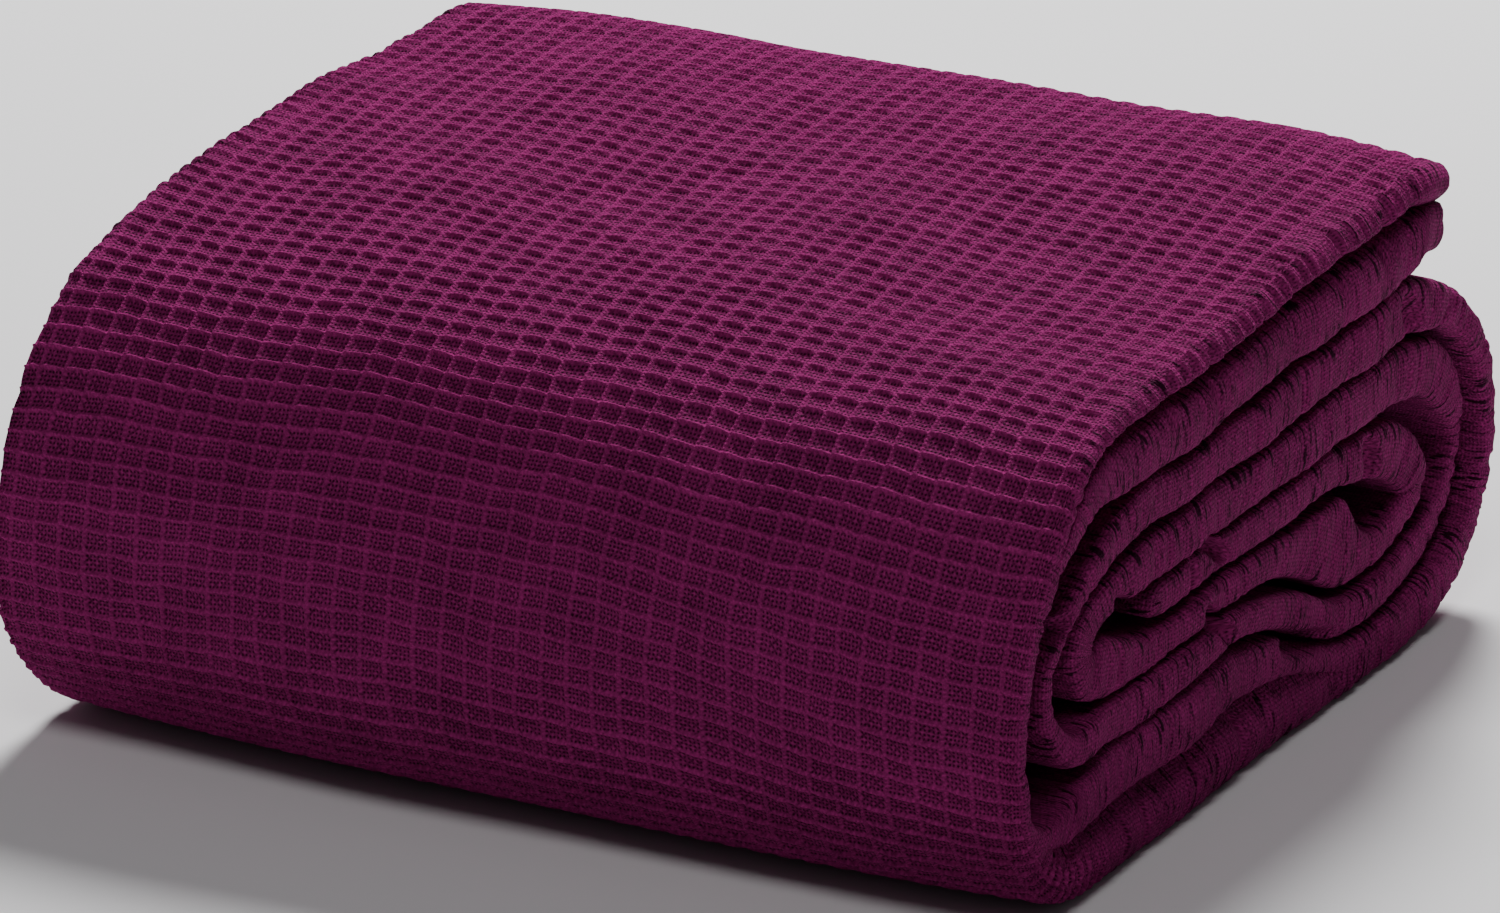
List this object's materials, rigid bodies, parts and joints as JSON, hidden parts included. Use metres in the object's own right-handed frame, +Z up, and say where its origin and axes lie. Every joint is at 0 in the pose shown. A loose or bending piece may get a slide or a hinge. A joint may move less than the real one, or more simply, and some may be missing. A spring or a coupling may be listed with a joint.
{
  "type": "folded and rolled waffle weave cotton blanket",
  "caption": "Plum waffle weave cotton blanket, folded to a strip and rolled up as a flattened bundle with its folded edges at the ends.",
  "frame": {"origin": "middle of the bundle's footprint, on the surface it rests on", "axes": "+Z up; X along the roll, with the blanket's folded edges at -X and +X; -Y is the round front and +Y the side where the top flap ends"},
  "size_m": [0.36, 0.3536, 0.1681],
  "materials": {
    "plum_cotton": "matte waffle weave cotton"
  },
  "bodies": {
    "root": {"blanket": "plum_cotton"}
  },
  "joints": []
}
